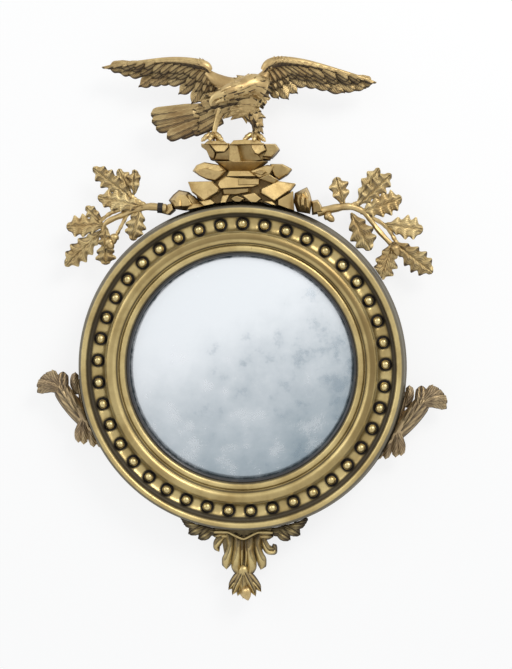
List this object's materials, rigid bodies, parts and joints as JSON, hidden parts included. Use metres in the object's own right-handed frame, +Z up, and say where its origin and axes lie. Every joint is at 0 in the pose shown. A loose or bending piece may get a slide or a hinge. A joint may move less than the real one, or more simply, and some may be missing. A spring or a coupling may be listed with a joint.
{
  "type": "girandole mirror",
  "caption": "Round convex wall mirror in a giltwood ring with balls, an eagle on rocks, oak sprays, side scrolls and an acanthus apron.",
  "frame": {"origin": "centre of the ring on its back plane, which is the wall plane", "axes": "+Z up, the mirror faces -Y and +Y points into the wall"},
  "size_m": [0.8382, 0.1306, 1.1009],
  "materials": {
    "gilt_wood": "worn antique gilding over gesso, satin",
    "ebonised_wood": "black polish, worn",
    "mirror_glass": "aged silvering, foxed",
    "pine": "old bare pine, darkened",
    "iron": "wrought iron, rust-browned"
  },
  "bodies": {
    "mirror": {"acorns_left": "gilt_wood", "acorns_right": "gilt_wood", "apron_acanthus": "gilt_wood", "apron_bud": "gilt_wood", "apron_frond": "gilt_wood", "apron_leaf_left": "gilt_wood", "apron_leaf_right": "gilt_wood", "apron_strap": "iron", "apron_strap_screws": "iron", "backboard": "pine", "backboard_screws": "iron", "ball_ornaments": "gilt_wood", "branch_binding_left": "iron", "carcass_ring": "pine", "crest_strap_left": "iron", "crest_strap_right": "iron", "crest_strap_screws": "iron", "eagle_body": "gilt_wood", "eagle_head": "gilt_wood", "eagle_leg_left": "gilt_wood", "eagle_leg_right": "gilt_wood", "eagle_tail": "gilt_wood", "eagle_wing_left": "gilt_wood", "eagle_wing_right": "gilt_wood", "ebonised_slip": "ebonised_wood", "foot_pins": "iron", "frame_moulding": "gilt_wood", "glazing_blocks": "pine", "hanger_screws": "iron", "hanger_strap_left": "iron", "hanger_strap_right": "iron", "mirror_plate": "mirror_glass", "oak_branch_left": "gilt_wood", "oak_branch_right": "gilt_wood", "oak_leaves_left_lower": "gilt_wood", "oak_leaves_left_upper": "gilt_wood", "oak_leaves_right_lower": "gilt_wood", "oak_leaves_right_upper": "gilt_wood", "rock_base_left": "gilt_wood", "rock_base_right": "gilt_wood", "rock_middle": "gilt_wood", "rock_summit": "gilt_wood", "scroll_dowels": "pine", "side_scroll_left": "gilt_wood", "side_scroll_right": "gilt_wood", "wing_dowels": "pine"},
    "ring_left": {"hanger_ring_left": "iron"},
    "ring_right": {"hanger_ring_right": "iron"}
  },
  "joints": [
    {"name": "left_ring_swing", "type": "hinge", "parent": "mirror", "child": "ring_left", "pos_m": [-0.244, -0.0042, 0.18], "axis": [1, 0, 0], "range_deg": [0, 180]},
    {"name": "right_ring_swing", "type": "hinge", "parent": "mirror", "child": "ring_right", "pos_m": [0.244, -0.0042, 0.18], "axis": [1, 0, 0], "range_deg": [0, 180]}
  ]
}
